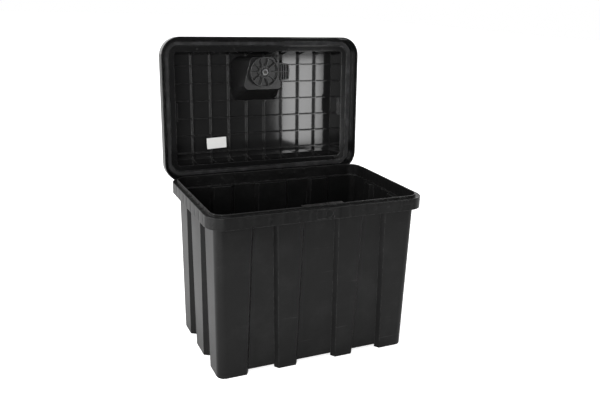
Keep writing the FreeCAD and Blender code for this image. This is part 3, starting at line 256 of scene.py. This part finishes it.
GRAIN = grain_group()

# %% [markdown]
# The second effect is wear along edges, which on the latch also paints highlights. On a real tub the outer
# edges are rubbed a little paler and smoother; on the latch the same paler edge colour is turned up so that
# it paints bright highlight lines along the ribs and rim. A Bevel node gives a normal that is rounded near
# an edge: where it parts from the true normal, there is an edge. The same rounded normal is passed on, so
# that the sharp edges of the solids catch a thin line of light as moulded corners do.

# %% Worn and rounded edges, and painted edge highlights
def edge_group():
    """A mask of rubbed edges, which also paints highlight lines, and a normal that is rounded along them."""
    group, given, result = new_group(
        "edge wear", {"Radius": 0.0012, "Amount": 1.0},
        {"Mask": "NodeSocketFloat", "Normal": "NodeSocketVector"})
    rounded = add(group, "ShaderNodeBevel", {"Radius": given.outputs["Radius"]}, samples=6).outputs[0]
    true_normal = add(group, "ShaderNodeNewGeometry").outputs["Normal"]
    along = add(group, "ShaderNodeVectorMath", {
        0: rounded, 1: true_normal}, operation="DOT_PRODUCT").outputs["Value"]
    bent = between(group, along, 0.995, 0.90)
    place = add(group, "ShaderNodeTexCoord").outputs["Object"]
    broken = between(group, noise(group, place, 60.0, 5.0, 0.7), 0.38, 0.62)
    worn_and_highlit = math_node(group, "MULTIPLY", math_node(group, "MULTIPLY", bent, broken), given.outputs["Amount"])
    group.links.new(worn_and_highlit, result.inputs["Mask"])
    group.links.new(rounded, result.inputs["Normal"])
    return group


EDGES = edge_group()

# %% [markdown]
# The third effect is handling: fine scuffs that run in a few directions, a thin veil of dust, and slow
# changes of gloss where the plastic cooled faster or slower. The scuffs are noise stretched in one
# direction, so that it turns into streaks, and only its highest peaks are kept.

# %% Scuffs and dust
def streaks(tree, place, turn, scale, stretch):
    """Thin streaks along one direction."""
    mapped = add(tree, "ShaderNodeMapping", {
        "Vector": place, "Rotation": turn, "Scale": (scale, scale * stretch, scale * stretch)}).outputs[0]
    return between(tree, noise(tree, mapped, 1.0, 4.0, 0.65), 0.66, 0.78)


def handling_group():
    """Masks of scuffs, of dust, and of slow changes of gloss."""
    group, given, result = new_group(
        "handling", {"Scuffs": 1.0, "Dust": 1.0},
        {"Scuffs": "NodeSocketFloat", "Dust": "NodeSocketFloat", "Gloss": "NodeSocketFloat"})
    place = add(group, "ShaderNodeTexCoord").outputs["Object"]
    across = streaks(group, place, (0.0, 0.0, 0.2), 6.0, 22.0)
    upward = streaks(group, place, (0.3, 1.45, 0.1), 5.0, 26.0)
    both = math_node(group, "MAXIMUM", across, upward)
    group.links.new(math_node(group, "MULTIPLY", both, given.outputs["Scuffs"]), result.inputs["Scuffs"])
    cloud = between(group, noise(group, place, 11.0, 6.0, 0.7), 0.42, 0.8)
    specks = between(group, noise(group, place, 420.0, 2.0, 0.5), 0.62, 0.72)
    dust = math_node(group, "ADD", math_node(group, "MULTIPLY", cloud, 0.5), math_node(
        group, "MULTIPLY", math_node(group, "MULTIPLY", specks, cloud), 0.9), clamp=True)
    group.links.new(math_node(group, "MULTIPLY", dust, given.outputs["Dust"]), result.inputs["Dust"])
    group.links.new(between(group, noise(group, place, 3.2, 3.0), 0.3, 0.7), result.inputs["Gloss"])
    return group


HANDLING = handling_group()

# %% [markdown]
# A moulded plastic is a dark base with those effects laid over it. The base colour is mixed towards a
# paler grey by dust, scuffs and worn edges; on the latch the edge mix is strong enough to paint highlight
# lines. The roughness moves between two values with the slow gloss mask. The bump comes last and builds on
# the rounded edge normal. The lid is smooth on its inner side and grained on the outer side of its roof, so
# the faces that point outwards there are rougher. Each plastic piece of the box then only differs in its
# numbers.

# %% Moulded plastics
# The paler grey of rubbed edges and scuffs; on the latch the edge mix with it is a painted highlight
RUBBED_AND_HIGHLIGHT_GREY = 0.10
DUST_GREY = 0.16
TINT_KEPT = 0.6
SCUFF_COLOR = 0.5
SCUFF_ROUGHNESS = 0.12
DUST_COLOR = 0.25
SINK_WIDTH = 0.011
SINK_FADE = 0.012


def use_group(tree, group, **values):
    """Places a node group in a material and sets its inputs."""
    node = add(tree, "ShaderNodeGroup", node_tree=group)
    for name, value in values.items():
        node.inputs[name].default_value = value
    return node


def mix_color(tree, factor, first, second):
    """A colour between two colours."""
    node = add(tree, "ShaderNodeMix", data_type="RGBA")
    for socket, value in ((node.inputs[0], factor), (node.inputs[6], first), (node.inputs[7], second)):
        if isinstance(value, bpy.types.NodeSocket):
            tree.links.new(value, socket)
        else:
            socket.default_value = value
    return node.outputs[2]


def zone(tree, way, start, end):
    """0 where the distance along a direction is under start, and 1 where it is past end."""
    place = add(tree, "ShaderNodeTexCoord").outputs["Object"]
    along = add(tree, "ShaderNodeVectorMath", {0: place, 1: way}, operation="DOT_PRODUCT").outputs["Value"]
    return between(tree, along, start, end)


def faces_towards(tree, way):
    """1 on the faces that point along a direction, and 0 on the others."""
    normal = add(tree, "ShaderNodeTexCoord").outputs["Normal"]
    along = add(tree, "ShaderNodeVectorMath", {0: normal, 1: way}, operation="DOT_PRODUCT").outputs["Value"]
    return math_node(tree, "GREATER_THAN", along, 0.5)


def sink_marks(tree, pitch, start):
    """Hollows of a wall in front of ribs that stand at a pitch, above a height, broken up by a noise."""
    place = add(tree, "ShaderNodeTexCoord").outputs["Object"]
    parts = add(tree, "ShaderNodeSeparateXYZ", {0: place})
    marks = 0.0
    for name in ("X", "Y"):
        beside = math_node(tree, "PINGPONG", parts.outputs[name], pitch / 2)
        marks = math_node(tree, "ADD", between(tree, beside, SINK_WIDTH, 0.0), marks)
    uneven = between(tree, noise(tree, place, 38.0, 2.0), 0.25, 0.6)
    return math_node(tree, "MULTIPLY", math_node(tree, "MULTIPLY", marks, uneven), zone(
        tree, (0, 0, 1), start, start + SINK_FADE))


def moulded_plastic(name, color, rough, grain, scuffs=0.3, dust=0.2, wear_and_highlight=0.5, specular=0.4, radius=0.0012,
                    depth_tint=None, sinks=None, outside=None):
    """A black or grey plastic: rough is the lowest and highest roughness, grain is (scale, bump in mm).

    depth_tint is (direction, start, end, share of mid grey): from start to end along the direction the
    colour is mixed towards mid grey, up to that share. sinks is (pitch, height where they start, depth in
    mm) of the marks over the ribs behind a wall. outside is (direction, roughness added) of the faces that
    point that way, where the mould is grained.
    """
    material = bpy.data.materials.new(name)
    tree = node_tree(material)
    edges = use_group(tree, EDGES, Radius=radius, Amount=wear_and_highlight)
    marks = use_group(tree, HANDLING, Scuffs=scuffs, Dust=dust)
    height = use_group(tree, GRAIN, Scale=grain[0]).outputs["Height"]
    base = (color[0], color[1], color[2], 1)
    pale = tuple(RUBBED_AND_HIGHLIGHT_GREY + TINT_KEPT * part for part in color) + (1,)
    dusty = tuple(DUST_GREY + TINT_KEPT * part for part in color) + (1,)
    # Paler along edges: rubbed wear, and on the latch a painted highlight line
    worn_and_highlit = mix_color(tree, edges.outputs["Mask"], base, pale)
    scuffed = mix_color(tree, math_node(tree, "MULTIPLY", marks.outputs["Scuffs"], SCUFF_COLOR), worn_and_highlit, pale)
    final = mix_color(tree, math_node(tree, "MULTIPLY", marks.outputs["Dust"], DUST_COLOR), scuffed, dusty)
    # Past a distance along a direction, the colour is mixed a little towards grey
    if depth_tint:
        tint_share = math_node(tree, "MULTIPLY", zone(tree, *depth_tint[:3]), depth_tint[3])
        final = mix_color(tree, tint_share, final, (0.5, 0.5, 0.5, 1))
    gloss = add(tree, "ShaderNodeMapRange", {
        "Value": marks.outputs["Gloss"], "To Min": rough[0], "To Max": rough[1]}).outputs[0]
    roughness = math_node(tree, "ADD", gloss, math_node(
        tree, "MULTIPLY", marks.outputs["Scuffs"], SCUFF_ROUGHNESS), clamp=True)
    if outside:
        roughness = math_node(tree, "ADD", roughness, math_node(
            tree, "MULTIPLY", faces_towards(tree, outside[0]), outside[1]))
    under = edges.outputs["Normal"]
    if sinks:
        under = add(tree, "ShaderNodeBump", {
            "Height": sink_marks(tree, *sinks[:2]), "Distance": -sinks[2] / 1000, "Normal": under}).outputs[0]
    bump = add(tree, "ShaderNodeBump", {
        "Height": height, "Distance": grain[1] / 1000, "Normal": under}).outputs[0]
    surface = add(tree, "ShaderNodeBsdfPrincipled", {
        "Base Color": final, "Roughness": roughness, "Normal": bump, "Specular IOR Level": specular})
    add(tree, "ShaderNodeOutputMaterial", {"Surface": surface.outputs[0]})
    return material


# The latch's shaft runs along the depth of the lid, so its axis measures that depth
latch_turn = next(joint for joint in frame["joints"] if joint["name"] == "latch_turn")
LID_DEPTH = Vector(latch_turn["axis"]).normalized()
if LID_DEPTH.y < 0:
    LID_DEPTH.negate()
LAND_DEPTH = max(LID_DEPTH.dot(vertex.co) for vertex in nodes["lid_seal"].data.vertices)
TUB_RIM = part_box("latch_keeper")[0].z
print("depth of the lid runs along", [round(part, 4) for part in LID_DEPTH], "land at", round(LAND_DEPTH, 4))

TUB_PLASTIC = moulded_plastic("tub plastic", (0.007, 0.007, 0.007), (0.285, 0.36), (700.0, 0.05),
                              scuffs=0.5, dust=0.3, wear_and_highlight=0.6, specular=0.18, radius=0.0016,
                              sinks=(0.0366, TUB_RIM - 0.026, 0.8))
# Deeper in the lid than the land, the base is mixed a little towards grey, so the ceiling is paler than the land
LID_PLASTIC = moulded_plastic("lid plastic", (0.007, 0.007, 0.0072), (0.07, 0.12), (500.0, 0.006),
                              scuffs=0.35, dust=0.2, wear_and_highlight=0.45, specular=0.34, radius=0.0016,
                              depth_tint=(LID_DEPTH, LAND_DEPTH + 0.015, LAND_DEPTH + 0.035, 0.010),
                              outside=(LID_DEPTH, 0.25))
# The latch's strong edge mix paints pale highlight lines along its ribs and rim
LATCH_PLASTIC = moulded_plastic("latch plastic", (0.012, 0.012, 0.0122), (0.285, 0.38), (900.0, 0.02),
                                scuffs=0.3, dust=0.2, wear_and_highlight=2.5, specular=0.5, radius=0.0012)
BUSH_PLASTIC = moulded_plastic("bush plastic", (0.06, 0.06, 0.062), (0.35, 0.45), (900.0, 0.02),
                               scuffs=0.2, dust=0.2, wear_and_highlight=0.3, radius=0.0004)

# %% [markdown]
# The metal pieces are plated steel. The hinges and the keeper are black zinc, which is dark, slightly
# brown and cloudy. Screws, pins and the nut are bright zinc that has gone dull. The lock is satin chrome.
# All three are made by one function: a metallic surface whose colour wanders with a slow noise, with fine
# brushed lines in its roughness.

# %% Plated metals
def plated_metal(name, dark, light, rough, lines):
    """A plated metal between two tones, with brushed lines per metre in its roughness."""
    material = bpy.data.materials.new(name)
    tree = node_tree(material)
    place = add(tree, "ShaderNodeTexCoord").outputs["Object"]
    cloud = between(tree, noise(tree, place, 45.0, 4.0), 0.35, 0.65)
    color = mix_color(tree, cloud, dark + (1,), light + (1,))
    mapped = add(tree, "ShaderNodeMapping", {
        "Vector": place, "Scale": (lines * 0.03, lines, lines)}).outputs[0]
    brushed = noise(tree, mapped, 1.0, 3.0)
    roughness = add(tree, "ShaderNodeMapRange", {
        "Value": brushed, "To Min": rough[0], "To Max": rough[1]}).outputs[0]
    edges = use_group(tree, EDGES, Radius=0.0005, Amount=0.8)
    bump = add(tree, "ShaderNodeBump", {
        "Height": brushed, "Distance": 0.00001, "Normal": edges.outputs["Normal"]}).outputs[0]
    surface = add(tree, "ShaderNodeBsdfPrincipled", {
        "Base Color": color, "Roughness": roughness, "Normal": bump, "Metallic": 1.0})
    add(tree, "ShaderNodeOutputMaterial", {"Surface": surface.outputs[0]})
    return material


BLACK_ZINC = plated_metal("black zinc", (0.035, 0.034, 0.033), (0.075, 0.072, 0.07), (0.3, 0.5), 900.0)
BRIGHT_ZINC = plated_metal("dull zinc", (0.16, 0.16, 0.165), (0.27, 0.27, 0.27), (0.3, 0.48), 1500.0)
SATIN_CHROME = plated_metal("satin chrome", (0.55, 0.56, 0.58), (0.68, 0.68, 0.69), (0.15, 0.26), 2000.0)
print("metals:", [metal.name for metal in (BLACK_ZINC, BRIGHT_ZINC, SATIN_CHROME)])

# %% [markdown]
# The seal is a strip of closed-cell foam rubber. It has no gloss at all, tiny open cells on its skin and a
# faint grey bloom. A Voronoi texture gives the cells.

# %% Foam rubber
def foam_rubber():
    """Matt black foam with small cells and a grey bloom."""
    material = bpy.data.materials.new("foam rubber")
    tree = node_tree(material)
    place = add(tree, "ShaderNodeTexCoord").outputs["Object"]
    cells = add(tree, "ShaderNodeTexVoronoi", {"Vector": place, "Scale": 1100.0}).outputs[0]
    bloom = between(tree, noise(tree, place, 35.0, 4.0), 0.4, 0.75)
    color = mix_color(tree, bloom, (0.020, 0.020, 0.0205, 1), (0.045, 0.045, 0.047, 1))
    roughness = add(tree, "ShaderNodeMapRange", {"Value": cells, "To Min": 0.75, "To Max": 0.95}).outputs[0]
    bump = add(tree, "ShaderNodeBump", {"Height": cells, "Distance": 0.00012}).outputs[0]
    surface = add(tree, "ShaderNodeBsdfPrincipled", {
        "Base Color": color, "Roughness": roughness, "Normal": bump, "Specular IOR Level": 0.3})
    add(tree, "ShaderNodeOutputMaterial", {"Surface": surface.outputs[0]})
    return material


FOAM = foam_rubber()

# %% [markdown]
# The label is white coated paper. Its fibres are a stretched noise that colours it a little and raises it a
# few hundredths of a millimetre, so that it isn't as even as paint.

# %% Label paper
def label_paper():
    """White paper with faint fibres and a slight bloom."""
    material = bpy.data.materials.new("label paper")
    tree = node_tree(material)
    place = add(tree, "ShaderNodeTexCoord").outputs["Object"]
    mapped = add(tree, "ShaderNodeMapping", {"Vector": place, "Scale": (500.0, 900.0, 2600.0)}).outputs[0]
    fibres = noise(tree, mapped, 1.0, 4.0, 0.6)
    bloom = between(tree, noise(tree, place, 40.0, 3.0), 0.3, 0.7)
    paper = mix_color(tree, fibres, (0.88, 0.88, 0.87, 1), (0.94, 0.94, 0.935, 1))
    color = mix_color(tree, math_node(tree, "MULTIPLY", bloom, 0.3), paper, (0.90, 0.89, 0.86, 1))
    roughness = add(tree, "ShaderNodeMapRange", {"Value": fibres, "To Min": 0.45, "To Max": 0.62}).outputs[0]
    bump = add(tree, "ShaderNodeBump", {"Height": fibres, "Distance": 0.00003}).outputs[0]
    surface = add(tree, "ShaderNodeBsdfPrincipled", {
        "Base Color": color, "Roughness": roughness, "Normal": bump, "Specular IOR Level": 0.4})
    add(tree, "ShaderNodeOutputMaterial", {"Surface": surface.outputs[0]})
    return material


LABEL_PAPER = label_paper()

# %% [markdown]
# A new piece is modelled around the origin and then moved into its place, with the move in its points. Its
# place comes from the CAD solid that it stands for. A CAD node may hold several solids, such as four equal
# screws, so its points are sorted into groups that hang together.

# %% Places of the solids
def piece_of(shape, name, material, body, slot, *replaced):
    """A bmesh made a piece that rides on a body, takes a finish and stands for some CAD nodes; slot is not used.
    """
    bmesh.ops.recalc_face_normals(shape, faces=shape.faces)
    mesh = bpy.data.meshes.new(name)
    shape.to_mesh(mesh)
    shape.free()
    mesh.materials.append(material)
    piece = bpy.data.objects.new(name, mesh)
    bpy.context.scene.collection.objects.link(piece)
    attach(piece, body)
    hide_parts(*replaced)
    return piece


def solids_of(node):
    """The points of each separate solid of a CAD node."""
    copy = bmesh.new()
    copy.from_mesh(nodes[node].data)
    bmesh.ops.remove_doubles(copy, verts=copy.verts, dist=1e-6)
    solids = []
    for start in copy.verts:
        if not start.tag:
            start.tag = True
            group = [start]
            for vertex in group:
                for edge in vertex.link_edges:
                    other = edge.other_vert(vertex)
                    if not other.tag:
                        other.tag = True
                        group.append(other)
            solids.append([vertex.co.copy() for vertex in group])
    copy.free()
    return solids


def seat(points, out):
    """A matrix whose Z is the direction out and whose origin is the outer end of a solid."""
    across = Vector((1, 0, 0))
    up = out.cross(across)
    turn = Matrix((across, up, out)).transposed()
    local = [turn.transposed() @ point for point in points]
    low = [min(point[axis] for point in local) for axis in range(3)]
    high = [max(point[axis] for point in local) for axis in range(3)]
    end = Vector(((low[0] + high[0]) / 2, (low[1] + high[1]) / 2, high[2]))
    return Matrix.Translation(turn @ end) @ turn.to_4x4()


# %% [markdown]
# A blank paper label is stuck over the ribs in a low corner of the lid. Only the edges of the ribs hold it,
# so it isn't quite flat: it swells a little between them, and one corner has come away. A flat rectangle
# gets round corners, is cut into strips so that it can bend, and gets its thickness at the end.

# %% Blank label
LABEL_WIDTH = 0.0608
LABEL_HEIGHT = 0.0328
LABEL_THICKNESS = 0.00022
LABEL_CORNER = 0.0016
LABEL_TURN = math.radians(2.5)
LABEL_SWELL = 0.00025
LABEL_CURL = 0.0013
LABEL_COLUMNS = 20
LABEL_ROWS = 12
CURL_START = 1.55


def cut_lines(shape, places, across):
    """Cuts a shape along planes that stand at some places along a direction."""
    for place in places:
        everything = shape.verts[:] + shape.edges[:] + shape.faces[:]
        bmesh.ops.bisect_plane(shape, geom=everything, plane_co=across * place, plane_no=across)


def make_label():
    """The label, swollen between the ribs, with one lifted corner."""
    shape = bmesh.new()
    bmesh.ops.create_grid(shape, x_segments=1, y_segments=1, size=0.5)
    bmesh.ops.scale(shape, verts=shape.verts, vec=(LABEL_WIDTH, LABEL_HEIGHT, 1))
    bmesh.ops.bevel(shape, geom=shape.verts[:], offset=LABEL_CORNER, offset_type="OFFSET", segments=5,
                    profile=0.5, affect="VERTICES", material=-1)
    for size, count, across in (
            (LABEL_WIDTH, LABEL_COLUMNS, Vector((1, 0, 0))), (LABEL_HEIGHT, LABEL_ROWS, Vector((0, 1, 0)))):
        cut_lines(shape, [size * (step / count - 0.5) for step in range(1, count)], across)
    bmesh.ops.solidify(shape, geom=shape.faces[:], thickness=LABEL_THICKNESS)
    for vertex in shape.verts:
        right = vertex.co.x / LABEL_WIDTH + 0.5
        top = vertex.co.y / LABEL_HEIGHT + 0.5
        corner = max(0.0, right + top - CURL_START) / (2 - CURL_START)
        vertex.co.z += LABEL_SWELL * (1 - math.cos(right * math.tau * 2)) / 2 + LABEL_CURL * corner ** 2
    bmesh.ops.transform(shape, matrix=Matrix.Rotation(LABEL_TURN, 4, "Z"), verts=shape.verts)
    bmesh.ops.transform(shape, matrix=seat(solids_of("label_blank")[0], -LID_DEPTH), verts=shape.verts)
    return piece_of(shape, "blank_label", LABEL_PAPER, "lid", "label_paper", "label_blank")


label = make_label()
print("label:", len(label.data.polygons), "faces")

# %% [markdown]
# The screws are pan-head screws with a cross recess, which the CAD leaves plain. One screw is modelled
# upright. Its head starts as a flat disc that is cut by eight planes, which draws a cross on it. The disc
# is raised to a low dome, the faces of the cross are pushed down to a narrower floor, and the rim is then
# drawn down in steps: round the head's edge, in under it, and down the shank to the point.

# %% Screws with a cross recess
CROSS_REACH = 0.58
CROSS_WIDTH = 0.15
CROSS_DEPTH = 0.62
FIRST_TURN = 25
NEXT_TURN = 37
# Diameter and height of the head, then diameter and length of the shank
HINGE_SCREW = (0.009, 0.0026, 0.0045, 0.010)
DISH_SCREW = (0.0066, 0.002, 0.0035, 0.010)


def draw_down(shape, rim, steps):
    """Extends an open rim of edges through steps of (radius as a share of the last one, height)."""
    for share, height in steps:
        grown = bmesh.ops.extrude_edge_only(shape, edges=rim)["geom"]
        points = [part for part in grown if isinstance(part, bmesh.types.BMVert)]
        rim = [part for part in grown if isinstance(part, bmesh.types.BMEdge)]
        bmesh.ops.scale(shape, verts=points, vec=(share, share, 1))
        for point in points:
            point.co.z = height
    return rim


def screw_shape(head, head_height, shank, length):
    """A screw whose head's top is at height 0; head and shank are diameters."""
    crown = head * 0.38
    shape = bmesh.new()
    bmesh.ops.create_circle(shape, cap_ends=True, segments=28, radius=crown)
    for way in (Vector((1, 0, 0)), Vector((0, 1, 0))):
        places = (-CROSS_REACH, -CROSS_WIDTH, CROSS_WIDTH, CROSS_REACH)
        cut_lines(shape, [crown * place for place in places], way)
    rim = [edge for edge in shape.edges if edge.is_boundary]
    for vertex in shape.verts:
        vertex.co.z = -0.12 * head_height * (vertex.co.length / crown) ** 2
    cross = []
    for face in shape.faces:
        far, near = sorted((abs(part) / crown for part in face.calc_center_median().xy), reverse=True)
        if near < CROSS_WIDTH and far < CROSS_REACH:
            cross.append(face)
    floor = bmesh.ops.extrude_face_region(shape, geom=cross)["geom"]
    bmesh.ops.delete(shape, geom=cross, context="FACES_ONLY")
    points = [part for part in floor if isinstance(part, bmesh.types.BMVert)]
    bmesh.ops.scale(shape, verts=points, vec=(0.55, 0.55, 1))
    bmesh.ops.translate(shape, verts=points, vec=(0, 0, -CROSS_DEPTH * head_height))
    end = draw_down(shape, rim, (
        (1.20, -0.30 * head_height), (1.07, -0.55 * head_height), (1.02, -head_height),
        (shank / head, -head_height), (1.0, -head_height - length + shank), (0.25, -head_height - length)))
    bmesh.ops.contextual_create(shape, geom=end)
    return shape


def make_screws(name, node, out, body, screw):
    """One cross-recess screw for every solid of a CAD node, as one piece."""
    one = screw_shape(*screw)
    pattern = bpy.data.meshes.new(name + "_pattern")
    one.to_mesh(pattern)
    one.free()
    all_screws = bmesh.new()
    for number, points in enumerate(solids_of(node)):
        first = len(all_screws.verts)
        all_screws.from_mesh(pattern)
        all_screws.verts.ensure_lookup_table()
        turn = Matrix.Rotation(math.radians(FIRST_TURN + NEXT_TURN * number), 4, "Z")
        bmesh.ops.transform(all_screws, matrix=seat(points, out) @ turn, verts=all_screws.verts[first:])
    bpy.data.meshes.remove(pattern)
    return piece_of(all_screws, name, BRIGHT_ZINC, body, "pin_steel", node)


BACK = Vector((0, 1, 0))
LID_DOWN = LID_DEPTH.cross(Vector((1, 0, 0)))
screws = [
    make_screws("tub_hinge_screws", "hinge_screws_tub", BACK, "tub", HINGE_SCREW),
    make_screws("lid_hinge_screws", "hinge_screws_lid", LID_DOWN, "lid", HINGE_SCREW),
    make_screws("latch_dish_screws", "dish_screws", LID_DEPTH, "lid", DISH_SCREW),
]
for piece in screws:
    print(piece.name, len(piece.data.polygons), "faces")

# %% [markdown]
# Each solid of the CAD model now gets its finish. A solid keeps its mesh, and only its material slots are
# assigned.

# %% Finish of the solids
FINISHES = {
    "tub_plastic": TUB_PLASTIC,
    "lid_plastic": LID_PLASTIC,
    "latch_plastic": LATCH_PLASTIC,
    "bush_plastic": BUSH_PLASTIC,
    "zinc_steel": BLACK_ZINC,
    "pin_steel": BRIGHT_ZINC,
    "lock_metal": SATIN_CHROME,
    "seal_rubber": FOAM,
}
# The nut of the latch is brighter than the end of the shaft in it
OWN_FINISHES = {"cam_nut": BRIGHT_ZINC, "latch_shaft": BLACK_ZINC}
slot_of = {part["node"]: part["material_slot"] for part in frame["record"]["subparts"]}
for name, piece in nodes.items():
    finish = OWN_FINISHES.get(name, FINISHES.get(slot_of[name]))
    if finish:
        for material_slot in piece.material_slots:
            material_slot.material = finish
print("solids with a finish:", sum(slot_of[name] in FINISHES for name in nodes), "of", len(nodes))
